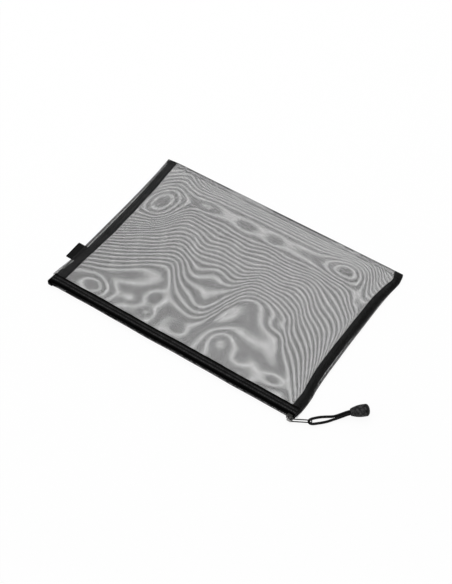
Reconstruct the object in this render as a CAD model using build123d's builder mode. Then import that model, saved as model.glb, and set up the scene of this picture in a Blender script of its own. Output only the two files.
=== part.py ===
from build123d import *
import os
from math import cos, pi, radians, sin, tan

os.makedirs("parts", exist_ok=True)

# Zip document wallet of black net. Millimetres, +Z up. X runs along the zip and Y from the zip
# to the back fold. The origin is the middle of the underside, on the surface that it lies on.

# Pouch
wallet_length = 335.0
wallet_width = 241.0
net_thickness = 0.4
crown_top = 8.0  # top of the net along the middle of the pocket
fold_top = 5.8  # top of the net along the back fold
shoulder_inset = 17.5  # from a side seam to where the pocket has its full height
side_top = 3.4  # top of the net at a side seam
side_camber = 0.1  # rise of the net's middle along a side seam
front_rise = 45.0  # from the zip's face to where the net reaches its full height
rear_fall = 25.0  # from the back edge to where the net starts down to the fold
crown_front_share = 0.8  # of the crown's rise, at the front
crown_rear_share = 0.55  # and at the rear
mesh_columns = 12  # coarse openings that stand for the fine meshes of the net
mesh_rows = 12
mesh_bar = 6.5
mesh_margin = 3.0  # plain net behind the zip's tape

# Side seams
binding_width = 12.5
binding_thickness = 0.6
binding_inset = 2.0  # net that shows outside the binding
seam_height = 1.3  # underside of the turned-in allowance
seam_clearance = 0.05
binding_gap = 2.0  # from the lower tape's woven edge to the binding's front end

# Zip
front_height = 7.2  # top of the upper tape
zip_band = 12.0  # tape that shows, from the zip's face to its woven edge
tape_thickness = 0.6
tape_bend = 1.8  # outer radius where a tape turns down to the coil
tape_end_gap = 0.6
tape_split = 0.5  # between the edges of the two tapes
coil_height = 2.6  # one half of the chain
coil_depth = 2.0
coil_round = 0.6
coil_split = 0.1
core_diameter = 1.0
core_clearance = 0.05
net_setback = 5.0  # from the zip's face to the net's front edge, under the tape

# Folded end of the zip, round the left front corner
fold_reach = 1.8  # past the side seam
fold_depth = 4.6
fold_tail = 15.5  # along the side seam
fold_run = 6.0  # along the front
fold_corner = 4.0
fold_round = 0.6
fold_clearance = 0.2

# Thread rows
thread_width = 0.5
thread_rise = 0.15
hem_row_inset = 1.5  # from the tape's woven edge
hem_row_pitch = 3.2  # between the two rows on a tape
seam_row_inset = 2.0  # from the binding's outer edge

# Slider
slider_overhang = 0.4  # pivot of the puller, inside the side seam
slider_tail = 6.5  # from the pivot to the slider's closed end
slider_half = 3.7  # half of its height
plate_thickness = 1.0
running_gap = 0.15
flange_thickness = 0.9
flange_reach = 1.4  # past the zip's face
wedge_length = 2.2
wedge_half = 0.6
wedge_clearance = 0.3
bridge_width = 2.6
bridge_wall = 0.8
eye_length = 4.2
eye_height = 2.85
bridge_round = 1.2

# Wire puller
wire_diameter = 1.3
puller_length = 23.0  # between the middles of its two end bars
puller_height = 4.6
puller_corner = 1.2
puller_heading = 30.0  # degrees from +X towards +Y, as it lies round the corner

# Pull cord and its moulded end
cord_diameter = 3.0
cord_heading = 48.0  # degrees from +X towards +Y
cord_end_mouth = 43.0  # from the puller's eye to the cord end's mouth
strand_pitch = 3.2  # between the two strands in the mouth
strand_inside = 8.0  # length of each strand inside the cord end
strand_lead = 1.0  # straight stretch of each strand before the mouth
bend_share = 0.45  # of the shorter run beside a bend, taken up by the bend
bell_heading = 41.5  # degrees from +X towards +Y
bell_lift = 3.6  # degrees that the bell's line rises from the mouth
belly_share = 0.75  # of the flare, where the bell lies on the surface
mouth_radius = 3.9
rim_radius = 6.8
flare_bulge = 0.75  # of the bell's flare, half way along it, outside a straight line
bell_length = 17.0
rim_length = 3.5  # straight stretch at the bell's wide end
cap_length = 3.9
bell_wall = 1.2
throat_length = 6.0
throat_clearance = 0.15
plug_length = 2.5
plug_clearance = 0.1
knot_radius = 3.2
knot_depth = 10.5
floor_gap = 0.05

# Webbing tab
tab_width = 25.0
tab_reach = 8.6
tab_seat = 1.9  # length caught in the seam
tab_webbing = 1.0
tab_gap = 0.3
tab_lift = 0.1  # above the lower net
tab_distance = 56.2  # from the zip's face to the tab's middle
tab_clearance = 0.1

# Levels and lines shared by the pieces
side_x = wallet_length / 2
front_y = -wallet_width / 2
back_y = wallet_width / 2
shoulder_x = side_x - shoulder_inset
half_height = (front_height - net_thickness) / 2
chain_z = net_thickness + half_height
hem_top = front_height - tape_thickness
net_front = front_y + net_setback
tape_edge = front_y + zip_band
tape_front = front_y + coil_depth
tape_back = tape_front + tape_thickness
fold_end = back_y - fold_top / 2 - net_thickness
crown_rise = crown_top - fold_top
seam_top = seam_height + 2 * net_thickness
column_pitch = 2 * shoulder_x / mesh_columns
row_pitch = 2 * (-tape_edge - mesh_margin) / mesh_rows


def top_line(fold, rise, lowered):
    # top of the net from front to back, over a fold of this height with this rise in the middle
    line = [
        (net_front, hem_top),
        (tape_edge + net_thickness, hem_top),
        (front_y + front_rise, fold + crown_front_share * rise),
        (0, fold + rise),
        (back_y - rear_fall, fold + crown_rear_share * rise),
        (back_y - fold / 2, fold),
    ]
    return [(y, z - lowered) for y, z in line]


def sheet_section(x, fold, rise):
    # section of the net across the pocket, from its front edge to the start of the back fold
    with BuildSketch(Plane.YZ.offset(x)) as section:
        with BuildLine():
            Polyline(*top_line(fold, rise, 0), *reversed(top_line(fold, rise, net_thickness)), close=True)
        make_face()
    return section.sketch


def fold_section(x, height):
    # section of the back fold, two quarter rounds and a short flat that meets the lower net
    middle_y = back_y - height / 2
    middle_z = height / 2
    with BuildSketch(Plane.YZ.offset(x)) as section:
        with BuildLine():
            for radius in (middle_z, middle_z - net_thickness):
                JernArc((middle_y, middle_z + radius), (1, 0), radius, -90)
                JernArc((middle_y + radius, middle_z), (0, -1), radius, -90)
            Line((middle_y, 0), (fold_end, 0))
            Line((fold_end, 0), (fold_end, net_thickness))
            Line((fold_end, net_thickness), (middle_y, net_thickness))
            Line((middle_y, height - net_thickness), (middle_y, height))
        make_face()
    return section.sketch


# Meshes of the net, one over the other in its two sides, with bars along both middle lines
with BuildPart() as meshes:
    with GridLocations(column_pitch, row_pitch, mesh_columns, mesh_rows):
        Box(
            column_pitch - mesh_bar,
            row_pitch - mesh_bar,
            crown_top + net_thickness,
            align=(Align.CENTER, Align.CENTER, Align.MIN),
        )

# Upper side of the net, crowned over the pocket
with BuildPart() as net_top:
    extrude(sheet_section(-shoulder_x, fold_top, crown_rise), amount=2 * shoulder_x)
    add(meshes.part, mode=Mode.SUBTRACT)
net_top.part.label = "net_top"
export_step(net_top.part, "parts/net_top.step")

# Back fold, between the shoulders
with BuildPart() as net_back_fold:
    extrude(fold_section(-shoulder_x, fold_top), amount=2 * shoulder_x)
net_back_fold.part.label = "net_back_fold"
export_step(net_back_fold.part, "parts/net_back_fold.step")

# Lower side of the net, flat on the surface
with BuildPart() as net_bottom:
    with Locations((0, (net_front + fold_end) / 2, 0)):
        Box(wallet_length, fold_end - net_front, net_thickness, align=(Align.CENTER, Align.CENTER, Align.MIN))
    add(meshes.part, mode=Mode.SUBTRACT)
net_bottom.part.label = "net_bottom"
export_step(net_bottom.part, "parts/net_bottom.step")

# Sides of the net: the slope down to the seam, the seam itself and its allowance, turned inwards
binding_front = tape_edge + binding_gap
binding_rear = back_y - fold_top / 2
allowance_width = binding_inset + binding_width - binding_thickness - seam_clearance
tab_y = front_y + tab_distance

for side, name in ((-1, "left"), (1, "right")):
    with BuildPart() as net_edge:
        loft(
            sections=[
                sheet_section(side * shoulder_x, fold_top, crown_rise),
                sheet_section(side * side_x, side_top, side_camber),
            ],
            ruled=True,
        )
        loft(
            sections=[
                fold_section(side * shoulder_x, fold_top),
                fold_section(side * side_x, side_top),
            ],
            ruled=True,
        )
        # wall of the seam, from the lower net up into the upper one
        wall_rear = back_y - side_top / 2
        with BuildSketch(Plane.YZ.offset(side * side_x)):
            with BuildLine():
                Polyline(
                    *top_line(side_top, side_camber, net_thickness / 2),
                    (wall_rear, net_thickness),
                    (net_front, net_thickness),
                    close=True,
                )
            make_face()
        extrude(amount=-side * net_thickness)
        with Locations((side * side_x, (binding_front + fold_end) / 2, seam_height)):
            Box(
                allowance_width,
                fold_end - binding_front,
                2 * net_thickness,
                align=(Align.MAX if side > 0 else Align.MIN, Align.CENTER, Align.MIN),
            )
        if name == "left":
            # notch where the tab passes through the seam
            with Locations((-side_x, tab_y, net_thickness)):
                Box(
                    2 * (tab_seat + seam_clearance),
                    tab_width + 2 * tab_clearance,
                    side_top - 2 * net_thickness,
                    align=(Align.CENTER, Align.CENTER, Align.MIN),
                    mode=Mode.SUBTRACT,
                )
    net_edge.part.label = f"net_{name}_edge"
    export_step(net_edge.part, f"parts/net_{name}_edge.step")

    # Binding tape, folded round the allowance with its fold towards the pocket
    with BuildPart() as binding:
        leg_low = seam_height - seam_clearance
        leg_high = seam_top + seam_clearance
        with BuildSketch(Plane.XZ.offset(-binding_front)):
            with BuildLine():
                outer = side * (side_x - binding_inset)
                inner = side * (side_x - binding_inset - binding_width)
                web = inner + side * binding_thickness
                Polyline(
                    (outer, leg_low - binding_thickness),
                    (inner, leg_low - binding_thickness),
                    (inner, leg_high + binding_thickness),
                    (outer, leg_high + binding_thickness),
                    (outer, leg_high),
                    (web, leg_high),
                    (web, leg_low),
                    (outer, leg_low),
                    close=True,
                )
            make_face()
        extrude(amount=binding_front - binding_rear)
    binding.part.label = f"{name}_binding"
    export_step(binding.part, f"parts/{name}_binding.step")

    # Thread row through the binding
    with BuildPart() as seam_row:
        row_x = side * (side_x - binding_inset - seam_row_inset)
        row_low = leg_high + binding_thickness
        with Locations((row_x, (binding_front + binding_rear) / 2, row_low)):
            Box(
                thread_width,
                binding_rear - binding_front,
                thread_rise,
                align=(Align.CENTER, Align.CENTER, Align.MIN),
            )
    seam_row.part.label = f"{name}_seam_stitches"
    export_step(seam_row.part, f"parts/{name}_seam_stitches.step")

# Zip: two tapes with a coil and its core each. The upper half is the lower one mirrored.
pivot_x = side_x - slider_overhang
plate_face = front_y - running_gap - plate_thickness
pivot_y = plate_face + wire_diameter / 2 + running_gap - eye_height
slider_right = pivot_x + wire_diameter / 2 + running_gap + bridge_wall
slider_left = pivot_x - slider_tail
wedge_left = slider_right - wedge_length - wedge_clearance
zip_left = -side_x + fold_run + fold_clearance
tape_right = side_x - tape_end_gap
coil_right = wedge_left - wedge_clearance
row_length = tape_right - zip_left

for half, up in (("upper", 1), ("lower", -1)):
    with BuildPart() as zip_tape:
        with BuildSketch(Plane.YZ.offset(zip_left)):
            with BuildLine():
                flat = chain_z + up * half_height
                inside = chain_z + up * (half_height - tape_thickness)
                edge = chain_z + up * tape_split / 2
                outer_line = FilletPolyline(
                    (tape_edge, flat), (tape_front, flat), (tape_front, edge), radius=tape_bend
                )
                inner_line = FilletPolyline(
                    (tape_edge, inside),
                    (tape_back, inside),
                    (tape_back, edge),
                    radius=tape_bend - tape_thickness,
                )
                Line(outer_line @ 0, inner_line @ 0)
                Line(outer_line @ 1, inner_line @ 1)
            make_face()
        extrude(amount=row_length)
        # the tapes part round the slider's wedge
        with Locations((coil_right, tape_front, chain_z)):
            Box(
                tape_right - coil_right,
                tape_thickness,
                2 * (wedge_half + wedge_clearance),
                align=(Align.MIN, Align.MIN, Align.CENTER),
                mode=Mode.SUBTRACT,
            )
    zip_tape.part.label = f"zip_tape_{half}"
    export_step(zip_tape.part, f"parts/zip_tape_{half}.step")

    coil_z = chain_z + up * (coil_split + coil_height) / 2
    with BuildPart() as zip_coil:
        with BuildSketch(Plane.YZ.offset(zip_left)):
            with Locations((front_y + coil_depth / 2, coil_z)):
                RectangleRounded(coil_depth, coil_height, coil_round)
                Circle(core_diameter / 2 + core_clearance, mode=Mode.SUBTRACT)
        extrude(amount=coil_right - zip_left)
    zip_coil.part.label = f"zip_coil_{half}"
    export_step(zip_coil.part, f"parts/zip_coil_{half}.step")

    with BuildPart() as coil_core:
        with BuildSketch(Plane.YZ.offset(zip_left)):
            with Locations((front_y + coil_depth / 2, coil_z)):
                Circle(core_diameter / 2)
        extrude(amount=coil_right - zip_left)
    coil_core.part.label = f"coil_core_{half}"
    export_step(coil_core.part, f"parts/coil_core_{half}.step")

    # two thread rows that hold the tape to the net, on the face of the tape that shows
    row_base = front_height if up > 0 else net_thickness + tape_thickness
    with BuildPart() as hem_rows:
        rows = [tape_edge - hem_row_inset - i * hem_row_pitch for i in range(2)]
        with Locations([(zip_left, y, row_base) for y in rows]):
            Box(row_length, thread_width, thread_rise, align=(Align.MIN, Align.CENTER, Align.MIN))
    hem_rows.part.label = f"{half}_hem_stitches"
    export_step(hem_rows.part, f"parts/{half}_hem_stitches.step")

# Left end of the zip, folded back round the corner
with BuildPart() as zip_end_fold:
    fold_low = net_thickness + seam_clearance
    fold_high = front_height - fold_clearance
    with BuildSketch(Plane.XY.offset(fold_low)) as fold_plan:
        with BuildLine():
            left = -side_x - fold_reach
            Polyline(
                (left, front_y + fold_clearance),
                (-side_x + fold_run, front_y + fold_clearance),
                (-side_x + fold_run, front_y + fold_clearance + fold_depth),
                (-side_x - fold_clearance, front_y + fold_clearance + fold_depth),
                (-side_x - fold_clearance, front_y + fold_tail),
                (left, front_y + fold_tail),
                close=True,
            )
        make_face()
        fillet(fold_plan.vertices().group_by(Axis.X)[0].group_by(Axis.Y)[0], fold_corner)
        fillet(fold_plan.vertices().group_by(Axis.Y)[-1], fold_round)
    extrude(amount=fold_high - fold_low)
    rims = zip_end_fold.faces().filter_by(Axis.Z).sort_by(Axis.Z)
    rim_edges = rims[0].edges() + rims[-1].edges()
    fillet(rim_edges.filter_by(lambda e: e.center().X < -side_x - fold_clearance), fold_round)
zip_end_fold.part.label = "zip_end_fold"
export_step(zip_end_fold.part, "parts/zip_end_fold.step")

# Slider: outer plate with flanges over the coil, wedge, inner plate and bridge
with BuildPart() as slider_body:
    slider_length = slider_right - slider_left
    with Locations((slider_left, plate_face, chain_z)):
        Box(
            slider_length,
            plate_thickness,
            2 * slider_half,
            align=(Align.MIN, Align.MIN, Align.CENTER),
        )
    plate_ends = slider_body.edges().filter_by(Axis.Y)
    fillet(plate_ends, bridge_round)
    flange_middle = slider_half - flange_thickness / 2
    with Locations(*[(slider_left + bridge_round, plate_face, chain_z + s * flange_middle) for s in (-1, 1)]):
        Box(
            slider_length - 2 * bridge_round,
            front_y + flange_reach - plate_face,
            flange_thickness,
            align=(Align.MIN, Align.MIN, Align.CENTER),
        )
    inner_low = tape_back + running_gap
    inner_half = half_height - tape_bend
    with Locations((wedge_left, plate_face, chain_z)):
        Box(
            wedge_length,
            inner_low + plate_thickness - plate_face,
            2 * wedge_half,
            align=(Align.MIN, Align.MIN, Align.CENTER),
        )
    with Locations((slider_left + bridge_round, inner_low, chain_z)):
        Box(
            slider_length - bridge_round,
            plate_thickness,
            2 * inner_half,
            align=(Align.MIN, Align.MIN, Align.CENTER),
        )
    with BuildSketch(Plane.XY.offset(chain_z - bridge_width / 2)) as bridge_plan:
        bridge_high = eye_height + bridge_wall
        bridge_long = eye_length + 2 * bridge_wall
        with Locations((slider_right - bridge_long / 2, plate_face - bridge_high / 2)):
            Rectangle(bridge_long, bridge_high)
        fillet(bridge_plan.vertices().group_by(Axis.Y)[0], bridge_round)
        with Locations((slider_right - bridge_long / 2, plate_face - eye_height / 2)):
            Rectangle(eye_length, eye_height, mode=Mode.SUBTRACT)
    extrude(amount=bridge_width)
slider_body.part.label = "slider_body"
export_step(slider_body.part, "parts/slider_body.step")

# Wire puller, a closed loop that stands on edge in the bridge's eye
pull_way = Vector(cos(radians(puller_heading)), sin(radians(puller_heading)), 0)
pull_plane = Plane(origin=(pivot_x, pivot_y, chain_z), x_dir=pull_way, z_dir=pull_way.cross(Vector(0, 0, 1)))

with BuildPart() as wire_puller:
    low = -puller_height / 2
    high = puller_height / 2
    with BuildLine(pull_plane) as wire_path:
        FilletPolyline(
            (0, low), (puller_length, low), (puller_length, high), (0, high), radius=puller_corner, close=True
        )
    middle_of_leg = wire_path.edges().filter_by(GeomType.LINE).sort_by(Axis.Z)[0]
    with BuildSketch(Plane(origin=middle_of_leg @ 0.5, z_dir=middle_of_leg % 0.5)):
        Circle(wire_diameter / 2)
    sweep(path=wire_path.wires()[0])
wire_puller.part.label = "wire_puller"
export_step(wire_puller.part, "parts/wire_puller.step")

# Pull cord: a loop through the puller's eye. The points of the loop are distances along and across
# the cord's heading, from the eye, and heights above the surface. Both ends run into the cord end.
eye = Vector(pivot_x, pivot_y, 0) + pull_way * puller_length
cord_way = Vector(cos(radians(cord_heading)), sin(radians(cord_heading)), 0)
cord_side = Vector(-cord_way.Y, cord_way.X, 0)
flare_length = bell_length - rim_length
mouth_z = rim_radius + floor_gap - belly_share * flare_length * tan(radians(bell_lift))
mouth = eye + cord_way * cord_end_mouth + Vector(0, 0, mouth_z)
bell_flat = Vector(cos(radians(bell_heading)), sin(radians(bell_heading)), 0)
bell_way = (bell_flat + Vector(0, 0, tan(radians(bell_lift)))).normalized()
bell_side = Vector(-bell_flat.Y, bell_flat.X, 0)
half_pitch = strand_pitch / 2
loop_route = [
    (32.0, 2.2, 3.5),
    (21.0, 3.2, 1.6),
    (8.5, 4.6, 2.1),
    (-3.0, 3.1, 3.8),
    (-3.0, -3.1, 3.8),
    (8.0, -3.0, 2.1),
    (20.0, -2.4, 1.6),
    (31.5, -1.9, 3.5),
]
first_strand = [mouth + bell_way * t + bell_side * half_pitch for t in (strand_inside, -strand_lead)]
second_strand = [mouth + bell_way * t - bell_side * half_pitch for t in (-strand_lead, strand_inside)]
loop_points = [eye + cord_way * u + cord_side * v + Vector(0, 0, z) for u, v, z in loop_route]
cord_points = first_strand + loop_points + second_strand

cord_radii = []
for before, here, after in zip(cord_points, cord_points[1:], cord_points[2:]):
    turn = radians((here - before).get_angle(after - here))
    shorter = min((here - before).length, (after - here).length)
    cord_radii.append(bend_share * shorter / tan(turn / 2))
print("cord radii", [round(r, 1) for r in cord_radii])

with BuildPart() as pull_cord:
    with BuildLine() as cord_path:
        FilletPolyline(*cord_points, radius=cord_radii)
    with BuildSketch(Plane(origin=cord_points[0], z_dir=cord_points[1] - cord_points[0])):
        Circle(cord_diameter / 2)
    sweep(path=cord_path.wires()[0])
    cord_length = cord_path.wires()[0].length
    tube_share = pull_cord.part.volume / (pi * cord_diameter**2 / 4 * cord_length)
    print("cord length", round(cord_length, 1), "volume over section times length", round(tube_share, 4))
    # knot that holds the strands in the cord end
    with Locations(mouth + bell_way * knot_depth):
        Sphere(knot_radius)
pull_cord.part.label = "pull_cord"
export_step(pull_cord.part, "parts/pull_cord.step")

# Moulded cord end, a hollow bell that lies on its side, and the cap in its wide end
bell_plane = Plane(origin=mouth, x_dir=bell_side, z_dir=bell_way)
bell_section = Plane(origin=mouth, x_dir=bell_side, z_dir=bell_side.cross(bell_way))
bell_axis = Axis(mouth, bell_way)
cavity_radius = rim_radius - bell_wall
flare_radius = (mouth_radius + rim_radius) / 2 + flare_bulge

with BuildPart() as cord_end:
    with BuildSketch(bell_section):
        with BuildLine():
            Line((0, 0), (mouth_radius, 0))
            ThreePointArc((mouth_radius, 0), (flare_radius, flare_length / 2), (rim_radius, flare_length))
            Line((rim_radius, flare_length), (rim_radius, bell_length))
            Line((rim_radius, bell_length), (0, bell_length))
            Line((0, bell_length), (0, 0))
        make_face()
    revolve(axis=bell_axis)
    with BuildSketch(bell_section):
        with BuildLine():
            Polyline(
                (0, throat_length),
                (mouth_radius - bell_wall / 2, throat_length),
                (cavity_radius, flare_length),
                (cavity_radius, bell_length),
                (0, bell_length),
                close=True,
            )
        make_face()
    revolve(axis=bell_axis, mode=Mode.SUBTRACT)
    with BuildSketch(bell_plane):
        slot_height = cord_diameter + 2 * throat_clearance
        SlotCenterToCenter(strand_pitch, slot_height)
    extrude(amount=throat_length, mode=Mode.SUBTRACT)
cord_end.part.label = "cord_end"
export_step(cord_end.part, "parts/cord_end.step")

with BuildPart() as cord_end_cap:
    with BuildSketch(bell_section):
        with BuildLine():
            crown = bell_length + cap_length
            plug_radius = cavity_radius - plug_clearance
            Polyline(
                (rim_radius, bell_length),
                (plug_radius, bell_length),
                (plug_radius, bell_length - plug_length),
                (0, bell_length - plug_length),
                (0, crown),
            )
            dome_radius = (rim_radius**2 + cap_length**2) / (2 * cap_length)
            RadiusArc((0, crown), (rim_radius, bell_length), dome_radius)
        make_face()
    revolve(axis=bell_axis)
cord_end_cap.part.label = "cord_end_cap"
export_step(cord_end_cap.part, "parts/cord_end_cap.step")

# Webbing tab, folded in two and caught in the left seam
with BuildPart() as loop_tab:
    with BuildSketch(Plane.XZ.offset(-(tab_y - tab_width / 2))):
        with BuildLine():
            tab_half = tab_webbing + tab_gap / 2
            tab_z = net_thickness + tab_lift + tab_half
            root = -side_x + tab_seat
            bend_x = -side_x - tab_reach + tab_half
            for radius in (tab_half, tab_gap / 2):
                Line((root, tab_z + radius), (bend_x, tab_z + radius))
                ThreePointArc(
                    (bend_x, tab_z + radius), (bend_x - radius, tab_z), (bend_x, tab_z - radius)
                )
                Line((bend_x, tab_z - radius), (root, tab_z - radius))
            for s in (-1, 1):
                Line((root, tab_z + s * tab_half), (root, tab_z + s * tab_gap / 2))
        make_face()
    extrude(amount=-tab_width)
loop_tab.part.label = "loop_tab"
export_step(loop_tab.part, "parts/loop_tab.step")
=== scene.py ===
import math
import bpy
import numpy as np
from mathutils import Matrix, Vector


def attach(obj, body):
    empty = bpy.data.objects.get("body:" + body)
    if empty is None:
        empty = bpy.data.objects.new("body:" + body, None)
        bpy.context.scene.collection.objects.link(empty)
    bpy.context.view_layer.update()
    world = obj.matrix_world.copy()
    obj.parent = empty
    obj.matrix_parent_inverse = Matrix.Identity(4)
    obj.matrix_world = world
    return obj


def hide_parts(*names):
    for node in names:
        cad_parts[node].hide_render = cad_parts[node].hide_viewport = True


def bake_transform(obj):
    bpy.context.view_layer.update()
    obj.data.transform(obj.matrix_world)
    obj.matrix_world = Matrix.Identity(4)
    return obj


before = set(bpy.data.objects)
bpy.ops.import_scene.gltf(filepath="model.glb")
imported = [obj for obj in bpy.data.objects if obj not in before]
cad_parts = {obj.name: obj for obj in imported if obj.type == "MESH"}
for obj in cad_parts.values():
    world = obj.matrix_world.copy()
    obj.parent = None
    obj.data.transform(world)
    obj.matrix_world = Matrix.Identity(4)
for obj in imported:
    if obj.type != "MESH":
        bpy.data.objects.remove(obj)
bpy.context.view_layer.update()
scene = bpy.context.scene
scene.view_settings.view_transform = "Standard"
mm = 0.001  # the pieces' sizes are in mm, the camera's and the floor's in metres


def ease(t):
    t = np.clip(t, 0.0, 1.0)
    return t * t * (3.0 - 2.0 * t)


def easeUp(place, stretch):
    start, run = stretch  # 0 before the start, 1 past the run
    return ease((place - start) / run)


def easeDown(place, stretch):
    start, run = stretch  # 0 past the start, 1 a run before it
    return ease((start - place) / run)


def between(low, high, share):
    return low + (high - low) * share


def waveAlong(x, wave):
    height, length, phase = wave
    return height * np.sin(x / length + phase)


def waveAt(x, y, wave):
    height, lengthX, lengthY, phase = wave
    return height * np.sin(x / lengthX + y / lengthY + phase)


def unit(v):
    return v / np.linalg.norm(v, axis=-1, keepdims=True)


def skin(rings):
    count, corners = rings.shape[:2]  # closed rings in a row, with both ends capped
    k, c = np.meshgrid(np.arange(count - 1), np.arange(corners), indexing="ij")
    a = k * corners + c
    b = k * corners + (c + 1) % corners
    sides = np.stack([a, b, b + corners, a, b + corners, a + corners], axis=-1).reshape(-1, 3)
    fan = np.arange(1, corners - 1)
    near = np.stack([fan * 0, fan + 1, fan], axis=-1)
    far = np.stack([fan * 0, fan, fan + 1], axis=-1) + (count - 1) * corners
    return rings.reshape(-1, 3), np.concatenate([sides, near, far])


def joinSkins(skins):
    points, faces, base = [], [], 0
    for somePoints, someFaces in skins:
        points.append(somePoints)
        faces.append(someFaces + base)
        base += len(somePoints)
    return np.concatenate(points), np.concatenate(faces)


def ringsAlong(paths, sideways, width, depth, corners, turn):
    ahead = unit(np.gradient(paths, axis=1))
    sideways = np.asarray(sideways, float)
    across = unit(sideways - ahead * (ahead @ sideways)[..., None])
    over = np.cross(ahead, across)
    angle = np.arange(corners) * 2 * math.pi / corners + turn
    half = np.broadcast_to(width, paths.shape[:2])[..., None] / 2
    tall = np.broadcast_to(depth, paths.shape[:2])[..., None] / 2
    return (
        paths[:, :, None, :]
        + across[:, :, None, :] * (np.cos(angle) * half)[..., None]
        + over[:, :, None, :] * (np.sin(angle) * tall)[..., None]
    )


def threads(paths, sideways, width, depth=None, corners=3, turn=0.0):
    rings = ringsAlong(paths, sideways, width, width if depth is None else depth, corners, turn)
    count, steps = rings.shape[:2]
    faces = skin(rings[0])[1]
    shift = (np.arange(count) * steps * corners)[:, None, None]
    return rings.reshape(-1, 3), (faces[None] + shift).reshape(-1, 3)


def addPiece(name, skinned, material, crease, flatMap=False, shares=None):
    points, faces = skinned
    mesh = bpy.data.meshes.new(name)
    mesh.vertices.add(len(points))
    mesh.vertices.foreach_set("co", (points * mm).ravel())
    mesh.loops.add(faces.size)
    mesh.loops.foreach_set("vertex_index", faces.ravel().astype(np.int32))
    mesh.polygons.add(len(faces))
    mesh.polygons.foreach_set("loop_start", np.arange(len(faces), dtype=np.int32) * 3)
    mesh.polygons.foreach_set("use_smooth", np.ones(len(faces), bool))
    mesh.update(calc_edges=True)
    mesh.validate()
    if crease:
        mesh.set_sharp_from_angle(angle=math.radians(crease))
    if flatMap:
        low, high = points.min(0), points.max(0)
        layer = mesh.uv_layers.new(name="OFBake")
        placed = ((points - low) / (high - low))[faces.ravel()][:, :2]
        layer.data.foreach_set("uv", placed.astype(np.float32).ravel())
    if shares is not None:
        layer = mesh.attributes.new("across", "FLOAT", "POINT")
        layer.data.foreach_set("value", shares.astype(np.float32))
    mesh.materials.append(material)
    made = bpy.data.objects.new(name, mesh)
    scene.collection.objects.link(made)
    return made


# Camera
view = {
    "target": (0.00976, -0.01445, 0.0),
    "azimuth": 34.29,
    "elevation": 51.033,
    "distance": 1.54674,
    "lens": 82.69,
    "sensor": 36.0,
    "farLimit": 20.0,
}
turn = math.radians(view["azimuth"])
lift = math.radians(view["elevation"])
back = Vector((math.sin(turn) * math.cos(lift), -math.cos(turn) * math.cos(lift), math.sin(lift)))
camera = bpy.data.objects.new("camera", bpy.data.cameras.new("camera"))
camera.data.lens = view["lens"]
camera.data.sensor_width = view["sensor"]
camera.data.clip_end = view["farLimit"]
camera.location = Vector(view["target"]) + back * view["distance"]
camera.rotation_mode = "QUATERNION"
camera.rotation_quaternion = (-back).to_track_quat("-Z", "Y")
scene.collection.objects.link(camera)
scene.camera = camera
print("stage camera")

# Materials
finish = {
    "specular": 0.3,
    "wobble": 0.4,
    "waveDetail": 0.4,
    "wearDetail": 3.0,
    "grainDetail": 4.0,
    "wovenBase": 0.35,  # how light the gaps between threads stay
    "tapeBase": 0.5,
    "tapeGain": 2.4,
    "tapeCast": 1.02,  # a trace of blue
    "weaveStrength": 0.6,
    "grainStrength": 0.35,
}


def newMaterial(name, values):
    made = bpy.data.materials.new(name)
    made.use_nodes = True
    nodes = made.node_tree.nodes
    shader = nodes["Principled BSDF"]
    shader.inputs["Roughness"].default_value = values["roughness"]
    shader.inputs["Metallic"].default_value = values.get("metallic", 0.0)
    shader.inputs["Sheen Weight"].default_value = values.get("sheen", 0.0)
    shader.inputs["Specular IOR Level"].default_value = values.get("specular", finish["specular"])
    place = nodes.new("ShaderNodeTexCoord")
    return made, nodes, made.node_tree.links, shader, place.outputs["Object"]


def bands(nodes, links, place, direction, pitch):
    wave = nodes.new("ShaderNodeTexWave")
    wave.bands_direction = direction
    wave.inputs["Scale"].default_value = math.pi / 10 / (pitch * mm)  # one band to a pitch
    wave.inputs["Distortion"].default_value = finish["wobble"]
    wave.inputs["Detail Scale"].default_value = finish["waveDetail"]
    links.new(place, wave.inputs["Vector"])
    return wave.outputs["Fac"]


def cloud(nodes, links, place, size, detail=finish["wearDetail"]):
    noise = nodes.new("ShaderNodeTexNoise")
    noise.inputs["Scale"].default_value = 1 / (size * mm)
    noise.inputs["Detail"].default_value = detail
    links.new(place, noise.inputs["Vector"])
    return noise.outputs["Fac"]


def sums(nodes, links, kind, first, second):
    node = nodes.new("ShaderNodeMath")
    node.operation = kind
    for socket, value in zip(node.inputs, (first, second)):
        if isinstance(value, float):
            socket.default_value = value
        else:
            links.new(value, socket)
    return node.outputs[0]


def tint(nodes, links, amount, dark, light):
    mix = nodes.new("ShaderNodeMix")
    mix.data_type = "RGBA"
    mix.inputs[6].default_value = (*dark, 1)
    mix.inputs[7].default_value = (*light, 1)
    links.new(amount, mix.inputs[0])
    return mix.outputs[2]


def relief(nodes, links, shader, amount, depth, strength):
    bump = nodes.new("ShaderNodeBump")
    bump.inputs["Strength"].default_value = strength
    bump.inputs["Distance"].default_value = depth * mm
    links.new(amount, bump.inputs["Height"])
    links.new(bump.outputs["Normal"], shader.inputs["Normal"])


def placeY(nodes, links, place):
    parts = nodes.new("ShaderNodeSeparateXYZ")
    links.new(place, parts.inputs[0])
    return parts.outputs["Y"]


def spreadOver(nodes, links, source, start, end, atStart=0.0, atEnd=1.0):
    spread = nodes.new("ShaderNodeMapRange")
    sockets = ("From Min", "From Max", "To Min", "To Max")
    for socket, value in zip(sockets, (start, end, atStart, atEnd)):
        spread.inputs[socket].default_value = value
    links.new(source, spread.inputs["Value"])
    return spread.outputs["Result"]


def wornWeave(nodes, links, place, values, base):
    warp = bands(nodes, links, place, *values["warp"])
    weft = bands(nodes, links, place, *values["weft"])
    weave = sums(nodes, links, "MULTIPLY", warp, weft)
    wear = cloud(nodes, links, place, values["wearSize"])
    return weave, sums(nodes, links, "MULTIPLY", sums(nodes, links, "ADD", weave, base), wear)


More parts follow.
